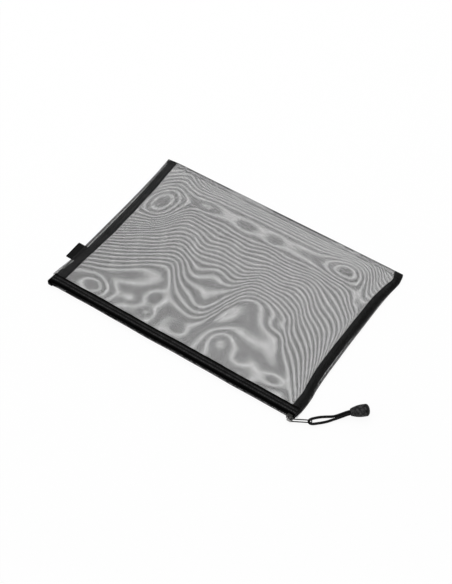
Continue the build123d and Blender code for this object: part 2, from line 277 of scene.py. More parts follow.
def wovenMaterial(name, values):
    made, nodes, links, shader, place = newMaterial(name, values)
    weave, amount = wornWeave(nodes, links, place, values, finish["wovenBase"])
    colour = tint(nodes, links, amount, values["dark"], values["light"])
    links.new(colour, shader.inputs["Base Color"])
    relief(nodes, links, shader, weave, values["depth"], finish["weaveStrength"])
    return made


# each weave is a direction and a pitch
netFibre = wovenMaterial("netFibre", {
    "roughness": 0.6, "sheen": 0.15, "warp": ("DIAGONAL", 0.12), "weft": ("Z", 0.3), "wearSize": 14.0,
    "dark": (0.006, 0.006, 0.006), "light": (0.034, 0.034, 0.035), "depth": 0.02,
})
sewingThread = wovenMaterial("sewingThread", {
    "roughness": 0.6, "specular": 0.1, "warp": ("DIAGONAL", 0.25), "weft": ("X", 0.6), "wearSize": 5.0,
    "dark": (0.003, 0.003, 0.003), "light": (0.016, 0.016, 0.017), "depth": 0.04,
})
cordBraid = wovenMaterial("cordBraid", {
    "roughness": 0.65, "specular": 0.1, "warp": ("DIAGONAL", 0.5), "weft": ("Z", 0.7), "wearSize": 4.0,
    "dark": (0.002, 0.002, 0.002), "light": (0.012, 0.012, 0.012), "depth": 0.05,
})
webbingRib = wovenMaterial("webbingRib", {
    "roughness": 0.7, "specular": 0.1, "warp": ("Y", 1.0), "weft": ("X", 0.5), "wearSize": 6.0,
    "dark": (0.001, 0.001, 0.001), "light": (0.012, 0.012, 0.012), "depth": 0.15,
})
coilNylon = wovenMaterial("coilNylon", {
    "roughness": 0.45, "specular": 0.12, "warp": ("X", 1.0), "weft": ("Z", 2.0), "wearSize": 3.0,
    "dark": (0.002, 0.002, 0.002), "light": (0.012, 0.012, 0.012), "depth": 0.03,
})


def tapeMaterial(name, values):
    # woven tape with lighter and darker lines along it, which can hold painted shade
    made, nodes, links, shader, place = newMaterial(name, values)
    first, last = values["lines"][0][0], values["lines"][-1][0]
    if values["across"] == "Y":
        source, scale = placeY(nodes, links, place), mm
    else:
        share = nodes.new("ShaderNodeAttribute")
        share.attribute_name = values["across"]
        source, scale = share.outputs["Fac"], 1.0
    ramp = nodes.new("ShaderNodeValToRGB")
    while len(ramp.color_ramp.elements) < len(values["lines"]):
        ramp.color_ramp.elements.new(0.5)
    for stop, (line, shade) in zip(ramp.color_ramp.elements, values["lines"]):
        stop.position = (line - first) / (last - first)
        stop.color = (shade, shade, shade * finish["tapeCast"], 1)
    links.new(spreadOver(nodes, links, source, first * scale, last * scale), ramp.inputs["Fac"])
    weave, amount = wornWeave(nodes, links, place, values, finish["tapeBase"])
    scaled = nodes.new("ShaderNodeVectorMath")
    scaled.operation = "SCALE"
    links.new(ramp.outputs["Color"], scaled.inputs[0])
    links.new(sums(nodes, links, "MULTIPLY", amount, finish["tapeGain"]), scaled.inputs["Scale"])
    links.new(scaled.outputs[0], shader.inputs["Base Color"])
    relief(nodes, links, shader, weave, values["depth"], finish["weaveStrength"])
    return made


# lines: place across the tape and shade
# the near-black strip in front of -116 mm is painted shade on the tape's front face, which faces away
# from the lamp
shadedFrontTape = tapeMaterial("shadedFrontTape", {
    "roughness": 0.8, "specular": 0.03, "warp": ("DIAGONAL", 1.9), "weft": ("X", 2.6), "wearSize": 6.0,
    "depth": 0.12, "across": "Y",
    "lines": [
        (-121.0, 0.0006), (-116.5, 0.0008), (-115.7, 0.012), (-115.0, 0.028), (-114.2, 0.028),
        (-113.4, 0.005), (-112.2, 0.004), (-111.5, 0.024), (-110.3, 0.024), (-109.6, 0.008),
        (-108.7, 0.003), (-106.0, 0.002),
    ],
})
# both bindings are the same tape lying flat: the left copy is painted lighter and the right one darker,
# as painted light and shade
litLeftTape = tapeMaterial("litLeftTape", {
    "roughness": 0.8, "specular": 0.06, "warp": ("DIAGONAL", 1.7), "weft": ("X", 2.3), "wearSize": 7.0,
    "depth": 0.12, "across": "across",
    "lines": [
        (0.0, 0.036), (0.18, 0.034), (0.32, 0.054), (0.46, 0.036),
        (0.56, 0.030), (0.7, 0.052), (0.85, 0.054), (1.0, 0.048),
    ],
})
shadedRightTape = tapeMaterial("shadedRightTape", {
    "roughness": 0.8, "specular": 0.04, "warp": ("DIAGONAL", 1.7), "weft": ("X", 2.3), "wearSize": 6.0,
    "depth": 0.12, "across": "across",
    "lines": [
        (0.0, 0.034), (0.14, 0.028), (0.33, 0.024), (0.46, 0.008),
        (0.6, 0.0005), (0.74, 0.0005), (0.88, 0.010), (1.0, 0.030),
    ],
})


def grainMaterial(name, values):
    made, nodes, links, shader, place = newMaterial(name, values)
    grain = cloud(nodes, links, place, values["grainSize"], finish["grainDetail"])
    wear = cloud(nodes, links, place, values["wearSize"])
    sharp = sums(nodes, links, "SUBTRACT", grain, 0.5)
    sharp = sums(nodes, links, "MULTIPLY", sharp, values.get("contrast", 1.0))
    amount = sums(nodes, links, "MULTIPLY", sums(nodes, links, "ADD", sharp, 0.5), wear)
    if "bright" in values:  # lighter in front of the first line, darker behind the second
        front, behind = (line * mm for line in values["bright"])
        frontShare = spreadOver(nodes, links, placeY(nodes, links, place), front, behind, 1.0, 0.0)
        amount = sums(nodes, links, "MULTIPLY", amount, frontShare)
    colour = tint(nodes, links, amount, values["dark"], values["light"])
    links.new(colour, shader.inputs["Base Color"])
    relief(nodes, links, shader, grain, values["depth"], finish["grainStrength"])
    return made


moulding = grainMaterial("moulding", {
    "roughness": 0.55, "specular": 0.12, "grainSize": 2.4, "wearSize": 5.0, "contrast": 3.5,
    "dark": (0.002, 0.002, 0.002), "light": (0.086, 0.086, 0.087), "depth": 0.07,
})
# the cap is painted darker than the cord end's body, as painted shade on the bell's wide end
shadedCapMoulding = grainMaterial("shadedCapMoulding", {
    "roughness": 0.45, "specular": 0.15, "grainSize": 0.6, "wearSize": 6.0,
    "dark": (0.003, 0.003, 0.003), "light": (0.024, 0.024, 0.024), "depth": 0.05,
})
nickelPlate = grainMaterial("nickelPlate", {
    "roughness": 0.3, "metallic": 1.0, "grainSize": 0.5, "wearSize": 2.5, "contrast": 2.5,
    "dark": (0.02, 0.02, 0.019), "light": (0.9, 0.88, 0.86), "depth": 0.02, "bright": (-122.6, -121.5),
})
# the puller is the same nickel painted dark, as a painted reflection of dark surroundings in the thin
# wire
nickelPaintedDark = grainMaterial("nickelPaintedDark", {
    "roughness": 0.35, "metallic": 1.0, "grainSize": 0.5, "wearSize": 3.0,
    "dark": (0.004, 0.004, 0.004), "light": (0.05, 0.049, 0.048), "depth": 0.02,
})
print("stage materials")

# Pull cord, braided round the route of its loop
cord = {
    "eye": (187.0186, -112.2),
    "heading": 48.0,
    "diameter": 3.0,
    "mouth": 43.0,
    "inside": 8.0,
    "lead": 1.0,
    "halfPitch": 1.6,
    "loop": [  # from the eye along the cord, to its side, height
        (33.0, 1.62, 3.5),
        (25.0, 1.62, 1.7),
        (17.0, 3.6, 1.6),
        (8.5, 4.6, 2.1),
        (-3.0, 3.1, 3.8),
        (-3.0, -3.1, 3.8),
        (8.0, -3.0, 2.1),
        (16.5, -2.9, 1.6),
        (25.0, -1.62, 1.7),
        (33.0, -1.62, 3.5),
    ],
    "curveSteps": 24,
    "corners": 24,
    "ringStep": 0.45,
    "strands": 8,
    "layLength": 9.0,
    "braidDepth": 0.10,
}
bell = {
    "heading": 41.5,
    "lift": 3.6,
    "belly": 0.75,
    "floorGap": 0.05,
    "hub": 0.3,
    "lip": [(3.2, 1.1), (3.4, 0.2), (3.7, 0.0)],  # radius, distance from the mouth
    "lipDepth": 1.2,
    "mouth": 3.9,
    "mouthEdge": 0.15,
    "rim": 6.8,
    "rimEdge": (0.12, 0.15),
    "length": 17.0,
    "flare": 13.5,
    "flareShares": (0.06, 1.0, 14),  # first, last, count
    "bulge": 0.75,
    "cap": 3.9,
    "capGap": 0.02,
    "capEdge": 0.15,
    "capCurve": 0.9,
    "capShares": (0.02, 0.98, 12),
    "softness": 0.45,
    "crease": 45,
    "corners": 56,
}


def level(degrees):
    return np.array([math.cos(math.radians(degrees)), math.sin(math.radians(degrees)), 0.0])


upward = np.array([0.0, 0.0, 1.0])
rise = math.tan(math.radians(bell["lift"]))
cordWay, bellFlat = level(cord["heading"]), level(bell["heading"])
cordSide, bellSide = np.cross(upward, cordWay), np.cross(upward, bellFlat)
bellWay = unit(bellFlat + upward * rise)
eye = np.array([*cord["eye"], 0.0])
mouthHeight = bell["rim"] + bell["floorGap"]
mouthHeight -= bell["belly"] * bell["flare"] * rise
mouthPoint = eye + cordWay * cord["mouth"] + upward * mouthHeight
strandSide = bellSide * cord["halfPitch"]
strandEnds = (cord["inside"], -cord["lead"])
cordPoints = [mouthPoint + bellWay * t + strandSide for t in strandEnds]
cordPoints += [eye + cordWay * u + cordSide * v + upward * z for u, v, z in cord["loop"]]
cordPoints += [mouthPoint + bellWay * t - strandSide for t in strandEnds[::-1]]
routeCurve = bpy.data.curves.new("cordRoute", "CURVE")
routeCurve.dimensions = "3D"
routeCurve.resolution_u = cord["curveSteps"]
routeSpline = routeCurve.splines.new("NURBS")
routeSpline.points.add(len(cordPoints) - 1)
for point, place in zip(routeSpline.points, cordPoints):
    point.co = (*(place * mm), 1.0)
routeSpline.order_u = 3
routeSpline.use_endpoint_u = True
routeObject = bpy.data.objects.new("cordRoute", routeCurve)
scene.collection.objects.link(routeObject)
bpy.context.view_layer.update()
evaluated = routeObject.evaluated_get(bpy.context.evaluated_depsgraph_get())
routeMesh = bpy.data.meshes.new_from_object(evaluated)
routeLine = np.array([v.co for v in routeMesh.vertices], float) / mm
bpy.data.objects.remove(routeObject)
steps = np.concatenate([[0], np.cumsum(np.linalg.norm(np.diff(routeLine, axis=0), axis=1))])
along = np.linspace(0, steps[-1], int(steps[-1] / cord["ringStep"]))
cordLine = np.stack([np.interp(along, steps, routeLine[:, i]) for i in range(3)], axis=1)
ahead = unit(np.gradient(cordLine, axis=0))
across = unit(np.cross(upward, ahead))
over = np.cross(ahead, across)
angle = np.arange(cord["corners"]) * 2 * math.pi / cord["corners"]
lay = 2 * math.pi * along[:, None] / cord["layLength"]
spin = cord["strands"] / 2 * angle[None]
braid = np.abs(np.sin(spin / 2 + lay * 2)) * np.abs(np.sin(spin / 2 - lay * 2))
radius = cord["diameter"] / 2 + cord["braidDepth"] * (braid - 0.5)
cordRings = (
    cordLine[:, None, :]
    + across[:, None, :] * (np.cos(angle) * radius)[..., None]
    + over[:, None, :] * (np.sin(angle) * radius)[..., None]
)
pullCord = addPiece("pullCord", skin(cordRings), cordBraid, crease=0)
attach(pullCord, "pull")
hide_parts("pull_cord")
print("stage cord", round(float(steps[-1]), 1))

# Moulded cord end and its cap, turned about one line
bellUp = np.cross(bellWay, bellSide)


def turned(outline):
    angle = np.arange(bell["corners"]) * 2 * math.pi / bell["corners"]
    rim = np.cos(angle)[:, None] * bellSide + np.sin(angle)[:, None] * -bellUp
    return np.array([mouthPoint + bellWay * t + rim * r for r, t in outline])


bellRim, bellLength, soft = bell["rim"], bell["length"], bell["softness"]
bellOutline = [(bell["hub"], bell["lipDepth"]), *bell["lip"]]
bellOutline.append((bell["mouth"], bell["mouthEdge"]))
for share in np.linspace(*bell["flareShares"]):
    straight = between(bell["mouth"], bellRim, share)
    swell = bell["bulge"] * 4 * share * (1 - share)
    bellOutline.append((straight + swell, bell["flare"] * share))
bellOutline += [
    (bellRim, bellLength - soft),
    (bellRim - bell["rimEdge"][0], bellLength - bell["rimEdge"][1]),
    (bellRim - soft, bellLength),
    (bell["hub"], bellLength),
]
cordEnd = addPiece(
    "cordEnd", skin(turned(bellOutline)), moulding, crease=bell["crease"],
)
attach(cordEnd, "pull")
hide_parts("cord_end")
capStart = bellLength + bell["capGap"]
capOutline = [(bell["hub"], capStart), (bellRim - soft, capStart)]
for share in np.linspace(*bell["capShares"]):
    lean = share * math.pi / 2
    dome = (bell["cap"] - bell["capEdge"]) * math.sin(lean)
    capOutline.append((
        bellRim * math.cos(lean) ** bell["capCurve"],
        bellLength + bell["capEdge"] + dome,
    ))
cordEndCap = addPiece(
    "cordEndCap", skin(turned(capOutline)), shadedCapMoulding, crease=bell["crease"],
)
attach(cordEndCap, "pull")
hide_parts("cord_end_cap")
print("stage cord end")

# Net, two layers of real threads that meet along the side seams and run round the back fold.
# A pair such as crownFront is where a change starts and over how far it runs.
net = {
    "side": 167.3,
    "backEdge": 120.1,
    "front": -108.4,
    "bottom": 0.25,
    "crown": 7.8,
    "crownFront": (-108.5, 70.0),
    "crownRear": (117.6, 80.0),
    "zipHeight": 6.4,
    "zipLift": (-76.0, 32.0),
    "foldHeight": 5.6,
    "foldRadius": 2.7,
    "sideHeight": 3.2,
    "shoulder": 149.0,
    "shoulderCurve": 1.5,
    "leftSeam": [
        (-108, 168.8), (-97, 168.0), (-72, 166.7), (-22, 166.2),
        (28, 165.8), (78, 166.4), (103, 167.6), (120, 168.8),
    ],
    "rightSeam": [
        (-112, 171.0), (-98, 171.6), (-84, 171.0), (-75, 169.5), (-60, 168.5), (-45, 167.9),
        (0, 167.1), (60, 167.0), (75, 167.3), (90, 168.0), (100, 169.2), (108, 169.8),
        (114, 168.6), (118, 167.7), (121, 166.8),
    ],
    "seamReach": 3,
    "seamLevel": 1.75,
    "seamInset": 0.5,
    "seamTuck": 0.45,
    "rowPitch": 0.6,
    "rowWidth": 0.222,
    "rowThinning": 0.21,
    "thinning": (-70, 120),
    "rightGain": 0.09,
    "gaining": (85, 45),
    "rowInset": 0.35,
    "rowEnds": (163.0, 157.0),
    "flatSpan": 150.0,
    "rowKnots": 47,
    "rowsBefore": 9.0,
    "rowsPast": 15.0,
    "rowStop": 2.0,
    "settling": 14,
    "columnPitch": 0.75,
    "columnWidth": 0.045,
    "columnDepth": 0.2,
    "columnFlat": 112.0,
    "columnKnots": 17,
    "columnFold": (117.6, 120.0, 122.0, 124.0, 126.2),
    "driftSlope": 0.022,
    "driftWay": (0.61, 0.79),
    "driftWaves": [(0.15, 23.0, 37.0, 0.0), (0.12, -41.0, 19.0, 1.0)],
    "driftEnd": (150, 20),
    "edgeRows": {-1: (10, 0.24), 1: (13, 0.19)},  # count and step at each side
    "edgeInset": 0.1,
    "edgeRear": 118.8,
    "edgeKnots": 60,
    "edgeSwing": 0.75,
    "edgeTurn": 1.9,
    "edgeLow": 0.6,
    "edgeRange": 2.6,
    "edgeWidth": 0.3,
    "foldWidth": 0.36,
    "foldKnots": 80,
    "foldRows": [113.6, 115.0, 116.2, 117.2, 118.0, 118.7, 119.3, 119.8, 120.2, 120.6, 121.0],
    "lowRun": (-115.4, 117.4),
    "lowEnds": (166.6, 164.5, 160.0),
    "lowKnots": 11,
    "lowColumnKnots": 12,
    "lowLift": 1.1,
    "lowLifting": (163.5, 3.1),
    "lowSeam": 2.0,
}


def smoothLine(line, x, reach):
    knots = np.array(line, float)
    shifts = (-1, -0.5, 0, 0.5, 1)
    return sum(np.interp(x + d * reach, knots[:, 0], knots[:, 1]) for d in shifts) / len(shifts)


def pulled(points):
    drawn = points.copy()  # the seams draw in between the corners
    x, y = points[..., 0], points[..., 1]
    left = smoothLine(net["leftSeam"], y, net["seamReach"])
    right = smoothLine(net["rightSeam"], y, net["seamReach"])
    drawn[..., 0] *= np.where(x < 0, left, right) / net["side"]
    return drawn


def middleHeight(y):
    front = between(net["zipHeight"], net["crown"], easeUp(y, net["crownFront"]))
    rear = between(net["foldHeight"], net["crown"], easeDown(y, net["crownRear"]))
    return np.minimum(front, rear)


def seamHeight(y):
    return between(net["sideHeight"], net["zipHeight"], easeDown(y, net["zipLift"]))


def sideShare(x):
    shoulder = net["shoulder"]
    out = np.clip((np.abs(x) - shoulder) / (net["side"] - shoulder), 0, 1)
    return out ** net["shoulderCurve"]


def upperPoint(x, s):
    # place on the upper net: s is y over the pocket, and runs on round the back fold
    share = sideShare(x)
    top = net["foldHeight"] * (1 - share) + net["sideHeight"] * share
    radius = (top - net["bottom"]) / 2
    foldStart = net["backEdge"] - radius
    y = np.minimum(s, foldStart)
    z = middleHeight(y) * (1 - share) + seamHeight(y) * share
    bend = np.clip((s - foldStart) / radius, 0, math.pi)
    under = np.maximum(s - foldStart - math.pi * radius, 0)
    y = y + radius * np.sin(bend) - under
    z = np.where(bend > 0, net["bottom"] + radius * (1 + np.cos(bend)), z)
    return np.stack([x, y, z], axis=-1)


slack = {
    "reach": 6.0,
    "level": 15.95,
    "brow": 16.0,
    "fall": 0.0055,
    "fallReach": 32.0,
    "calm": (-82, 48),
    "calmBrow": 1.5,
    "calmFall": 0.7,
    "rightEnd": (105, 30),
    "rightFall": 0.45,
    "bayDepth": 3.2,
    "bayFade": 2.6,
    "waves": [(0.30, 9.0, 23.0, 0.0), (0.25, 14.0, -17.0, 1.0)],  # height, x and y lengths, phase
    "fineWave": (0.13, 5.6, -12.0, 0.0),
    "fineEnd": (110, 40),
    "waveFront": (-40, 40),
    "waveRear": (4, 14),
    "turns": [
        (-160, 18), (-125, 17.5), (-100, 16.5), (-80, 15), (-65, 14.5), (-40, 15), (-20, 16.5),
        (0, 17), (15, 17), (25, 16), (50, 14.5), (75, 14.5), (95, 14.5), (103, 15), (108, 15.5),
        (125, 16.5), (140, 17), (160, 17),
    ],
    "bay": [
        (-160, -82), (-150, -77), (-125, -68), (-102, -52), (-82, -28), (-65, -18), (-55, -27),
        (-40, -46), (-24, -63), (-4, -71), (12, -67), (22, -47), (25, -30), (37, -13), (50, -5),
        (75, -2), (95, -13), (103, -30), (108, -45), (125, -64), (140, -79), (153, -95), (165, -110),
    ],
    "ridge": [
        (-160, 26), (-140, 40), (-120, 55), (-100, 69), (-80, 75), (0, 77), (70, 77), (112, 82),
        (125, 75), (136, 64), (146, 52), (160, 34),
    ],
    "hills": [  # x, y, reach along x and y, height in pitches
        (-132, 54, 25, 42, 4.4),
        (-81, 78, 13, 10, 0.75),
        (-47, 79, 12, 9, -0.25),
        (-24, 75, 12, 9, 0.4),
        (-1, 80, 11, 9, -0.25),
        (17, 75, 12, 9, 0.4),
        (33, 80, 11, 9, -0.25),
        (111, 85, 24, 20, 2.2),
        (146, 50, 12, 14, 1.0),
        (2, -2, 40, 30, -2.4),
        (0, -50, 16, 16, 0.8),
        (158, -40, 16, 40, 1.6),
        (87, -28, 16, 12, 1.5),
        (44, -80, 16, 16, 1.4),
        (122, -92, 14, 10, 1.5),
        (77, -89, 9, 8, -0.6),
        (-97, -78, 20, 10, 0.8),
        (-118, -97, 17, 12, -1.6),
        (-50, -70, 11, 13, 1.2),
        (-72, -88, 12, 9, -0.9),
        (-45, -94, 9, 7, 0.9),
        (-2, -94, 10, 8, 0.9),
    ],
}


def slackTurns(x, y):
    # how far the rows have crept, in pitches: least in the bay, most along the ridge
    bay, ridge, count = (
        smoothLine(slack[name], x, slack["reach"]) for name in ("bay", "ridge", "turns")
    )
    calm, right = easeDown(x, slack["calm"]), easeUp(x, slack["rightEnd"])
    brow = slack["brow"] * (1 + slack["calmBrow"] * calm)
    fall = slack["fall"] * (1 - slack["calmFall"] * calm - slack["rightFall"] * right)
    steep = count / (ridge - bay - brow / 2)
    ahead, past = np.maximum(ridge - y, 0), np.maximum(y - ridge, 0)
    near, begun = np.minimum(ahead, brow), np.minimum(past, slack["fallReach"])
    depth = steep * (near ** 2 / 2 / brow + ahead - near)
    beyond = 1 - np.exp(np.minimum(count - depth, 0) / slack["bayFade"])
    depth = np.where(depth > count, count + slack["bayDepth"] * beyond, depth)
    dropped = begun ** 2 + 2 * slack["fallReach"] * (past - begun)
    total = slack["level"] - depth - fall * dropped
    for hillX, hillY, reachX, reachY, height in slack["hills"]:
        total = total + height * np.exp(-(((x - hillX) / reachX) ** 2) - ((y - hillY) / reachY) ** 2)
    wave = sum(waveAt(x, y, each) for each in slack["waves"])
    wave = wave + waveAt(x, y, slack["fineWave"]) * easeDown(x, slack["fineEnd"])
    clear, run = slack["waveRear"]
    return total + wave * easeUp(y, slack["waveFront"]) * easeDown(y, (ridge - clear, run))


def drift(x, y):
    wayX, wayY = net["driftWay"]
    lean = net["driftSlope"] * (wayX * x + wayY * y)
    return lean + sum(waveAt(x, y, each) for each in net["driftWaves"])


def seamTurn(side, y, z):
    # the last stretch of a row, over the seam
    middle = (z + net["bottom"]) / 2
    outer, inner = side * net["side"], side * (net["side"] - net["seamInset"])
    tucked = middle + (z - middle) * net["seamTuck"]
    return [
        np.stack([np.full_like(y, outer), y, tucked], axis=-1),
        np.stack([np.full_like(y, inner), y, np.full_like(y, net["seamLevel"])], axis=-1),
    ]


def overSeams(paths, leftZ, rightZ):
    left = seamTurn(-1, paths[:, 0, 1], leftZ)
    right = seamTurn(1, paths[:, -1, 1], rightZ)
    return np.concatenate([np.stack(left[::-1], axis=1), paths, np.stack(right, axis=1)], axis=1)


def knotsAcross(ends, count):
    ends = np.array(ends)  # close together near the seams, even between them
    flat = np.linspace(-net["flatSpan"], net["flatSpan"], count)
    return np.concatenate([-ends, flat, ends[::-1]])


def netThreads(paths, sideways, width, depth=None):
    return threads(pulled(paths), sideways, width, depth, turn=math.pi / 2)


span = net["side"] - net["rowInset"]
rowX = knotsAcross([span, *net["rowEnds"]], net["rowKnots"])
foldLength = net["backEdge"] + math.pi * net["foldRadius"]
rowStart = np.arange(
    net["front"] - net["rowsBefore"], foldLength + net["rowsPast"], net["rowPitch"],
)
rowS, rowAcross = np.meshgrid(rowStart, rowX, indexing="ij")
for attempt in range(net["settling"]):
    rowS = rowStart[:, None] - net["rowPitch"] * slackTurns(rowAcross, rowS)
rowStop = foldLength - net["rowStop"]
keep = (rowS.max(axis=1) > net["front"]) & (rowS.min(axis=1) < rowStop)
rowS, rowAcross = np.clip(rowS[keep], net["front"], rowStop), rowAcross[keep]
rowPaths = upperPoint(rowAcross, rowS)
rowPaths = overSeams(rowPaths, rowPaths[:, 0, 2], rowPaths[:, -1, 2])
rowWidth = 1 - net["rowThinning"] * easeUp(rowPaths[..., 1], net["thinning"])
rowWidth = net["rowWidth"] * rowWidth
rowWidth = rowWidth * (1 + net["rightGain"] * easeUp(rowPaths[..., 0], net["gaining"]))

columnX = np.arange(-span, span, net["columnPitch"])
columnS = np.linspace(net["front"], net["columnFlat"], net["columnKnots"])
columnS = np.concatenate([columnS, net["columnFold"]])
columnAcross, columnAlong = np.meshgrid(columnX, columnS, indexing="ij")
strayed = drift(columnAcross, columnAlong) * easeDown(np.abs(columnAcross), net["driftEnd"])
columnPaths = upperPoint(columnAcross + strayed, columnAlong)

edgeY = np.linspace(net["front"], net["edgeRear"], net["edgeKnots"])
edgeShare = (seamHeight(edgeY) - net["edgeLow"]) / net["edgeRange"]
edgePaths = []
for side, (count, step) in net["edgeRows"].items():
    for place in range(count):
        x = np.full_like(edgeY, side * (net["side"] - net["edgeInset"] - place * step))
        swing = net["edgeSwing"] * math.cos(net["edgeTurn"] * place)
        edgePaths.append(np.stack([x, edgeY, net["seamLevel"] + swing * edgeShare], axis=-1))
foldX, foldS = np.meshgrid(np.linspace(-span, span, net["foldKnots"]), net["foldRows"])
upper = joinSkins([
    netThreads(upperPoint(foldX, foldS), (0, 1, 0), net["foldWidth"]),
    netThreads(rowPaths, (0, 1, 0), rowWidth),
    netThreads(columnPaths, (1, 0, 0), net["columnWidth"], net["columnDepth"]),
    netThreads(np.array(edgePaths), (1, 0, 0), net["edgeWidth"]),
])
netUpper = addPiece("netUpper", upper, netFibre, crease=0, flatMap=True)
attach(netUpper, "wallet")
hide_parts("net_top", "net_back_fold", "net_left_edge", "net_right_edge")


def lowerPoint(x, y):
    lift = net["lowLift"] * easeUp(np.abs(x), net["lowLifting"])
    return np.stack([x, y, net["bottom"] + lift], axis=-1)


lowX = knotsAcross(net["lowEnds"], net["lowKnots"])
lowY, lowAcross = np.meshgrid(np.arange(*net["lowRun"], net["rowPitch"]), lowX, indexing="ij")
lowSeam = np.full(len(lowY), net["lowSeam"])
lowRows = overSeams(lowerPoint(lowAcross, lowY), lowSeam, lowSeam)
lowColumnY = np.linspace(*net["lowRun"], net["lowColumnKnots"])
lowColumns = lowerPoint(*np.meshgrid(columnX, lowColumnY, indexing="ij"))
lower = joinSkins([
    netThreads(lowRows, (0, 1, 0), net["rowWidth"]),
    netThreads(lowColumns, (1, 0, 0), net["columnWidth"], net["columnDepth"]),
])
netLower = addPiece("netLower", lower, netFibre, crease=0, flatMap=True)
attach(netLower, "wallet")
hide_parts("net_bottom")
print("stage net", len(upper[1]), len(lower[1]))

# Binding tapes, folded round the seam allowance inside the pouch
binding = {
    "leftFront": -108.0,
    "rightFront": -118.4,
    "leftRear": 119.6,
    "rightRear": 121.2,
    "leftOuter": [
        (-106, 166.2), (-97, 165.1), (-72, 163.0), (-22, 162.3),
        (28, 162.4), (78, 163.7), (103, 165.2), (119, 166.8),
    ],
    "leftInner": [
        (-106, 155.0), (-97, 155.0), (-72, 154.1), (-22, 151.9),
        (28, 152.0), (78, 153.6), (103, 156.2), (119, 156.4),
    ],
    "rightOuter": [
        (-118, 169.4), (-112, 170.6), (-98, 170.9), (-84, 169.4), (-75, 167.5), (-60, 165.6),
        (-45, 164.7), (0, 164.3), (60, 165.3), (75, 165.8), (90, 167.5), (100, 169.0),
        (108, 169.4), (114, 168.2), (118, 167.2), (121, 166.5),
    ],
    "rightInner": [
        (-112, 159.2), (-98, 158.8), (-84, 158.9), (-75, 156.8), (-60, 155.3), (-45, 154.1),
        (0, 153.2), (60, 154.0), (75, 154.6), (92, 156.6), (100, 158.0), (107, 160.2),
        (110, 159.6), (114, 158.0), (118, 156.0), (121, 155.0),
    ],
    "reach": 2.5,
    "waverLong": (0.2, 17.0),
    "waverShort": (0.15, 6.1),
    "low": 0.68,
    "under": 0.48,
    "thickness": 0.55,
    "foldReach": 1.0,
    "foldLeast": 0.1,
    "foldSteps": 9,
    "topShares": (0, 0.14, 0.3, 0.45, 0.6, 0.75, 0.9),
    "steps": 90,
    "crease": 60,
    "leftFlat": (0.024, 0.228),  # unfolded, in metres
    "rightFlat": (0.0255, 0.240),
}


def bindingSection(high):
    # (share of the width from the inner edge, distance back from the fold, height)
    low, thick = binding["low"], binding["thickness"]
    radius = (high - low) / 2
    middle = (high + low) / 2
    bend = np.linspace(math.pi / 2, -math.pi / 2, binding["foldSteps"])
    across = min(radius, binding["foldReach"])
    outline = [(share, 0, high) for share in binding["topShares"]]
    outline += [(1, across * (math.cos(a) - 1), middle + radius * math.sin(a)) for a in bend]
    outline += [(0.5, 0, low), (0, 0, low), (0, 0, low + thick), (0.5, 0, low + thick)]
    inside = radius - thick
    narrow = max(across - thick, binding["foldLeast"])
    outline += [(1, narrow * math.cos(a) - across, middle + inside * math.sin(a)) for a in bend[::-1]]
    return np.array(outline + [(0.5, 0, high - thick), (0, 0, high - thick)])


for side, name, weave in ((-1, "left", litLeftTape), (1, "right", shadedRightTape)):
    front, rear = binding[name + "Front"], binding[name + "Rear"]
    rows = np.linspace(front, rear, binding["steps"])
    waver = waveAlong(rows, (*binding["waverLong"], side))
    waver = waver + waveAlong(rows, (*binding["waverShort"], 0))
    inner = smoothLine(binding[name + "Inner"], rows, binding["reach"]) + waver
    outer = smoothLine(binding[name + "Outer"], rows, binding["reach"])
    rings, shares = [], []
    for y, near, far in zip(rows, inner, outer):
        section = bindingSection(seamHeight(y) - binding["under"])
        x = side * (between(near, far, section[:, 0]) + section[:, 1])
        rings.append(np.column_stack([x, np.full(len(section), y), section[:, 2]]))
        shares.append(section[:, 0])
    rings, shares = np.array(rings), np.array(shares)
    if side > 0:
        rings, shares = rings[:, ::-1], shares[:, ::-1]
    tape = addPiece(
        name + "Binding", skin(rings), weave,
        crease=binding["crease"], shares=shares.ravel(),
    )
    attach(tape, "wallet")
    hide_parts(name + "_binding")
print("stage bindings")

# Rows of single stitches
stitch = {
    "length": 2.5,
    "pitch": 3.1,
    "start": 0.3,
    "width": 0.42,
    "height": 0.16,
    "lean": 0.10,
    "shares": (0.0, 0.08, 0.3, 0.7, 0.92, 1.0),
    "humps": (-0.12, 0.02, 0.07, 0.07, 0.02, -0.12),
    "corners": 6,
    "seamRun": (-106.0, 117.0),
    "seamInset": 1.9,
    "proud": 0.05,
}


def stitchRow(startPoint, endPoint, sideways):
    startPoint, endPoint = np.array(startPoint, float), np.array(endPoint, float)
    length = np.linalg.norm(endPoint - startPoint)
    way = (endPoint - startPoint) / length
    starts = np.arange(stitch["start"], length - stitch["length"], stitch["pitch"])
    shares, humps = np.array(stitch["shares"]), np.array(stitch["humps"])
    lean = (shares - 0.5) * stitch["lean"] * stitch["length"]
    sideways = np.array(sideways, float)
    paths = (
        startPoint
        + way * (starts[:, None] + shares[None] * stitch["length"])[..., None]
        + upward * humps[None, :, None]
        + sideways * lean[None, :, None]
    )
    width, height = stitch["width"], stitch["height"]
    return threads(paths, sideways, width, height, corners=stitch["corners"])


for side, name in ((-1, "left"), (1, "right")):
    front, rear = stitch["seamRun"]
    points, faces = stitchRow((0, front, 0), (0, rear, 0), (1, 0, 0))
    outer = smoothLine(binding[name + "Outer"], points[:, 1], binding["reach"])
    points[:, 0] += side * (outer - stitch["seamInset"])
    points[:, 2] += seamHeight(points[:, 1]) - binding["under"] + stitch["proud"]
    row = addPiece(name + "SeamStitches", (points, faces), sewingThread, crease=0)
    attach(row, "wallet")
    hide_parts(name + "_seam_stitches")
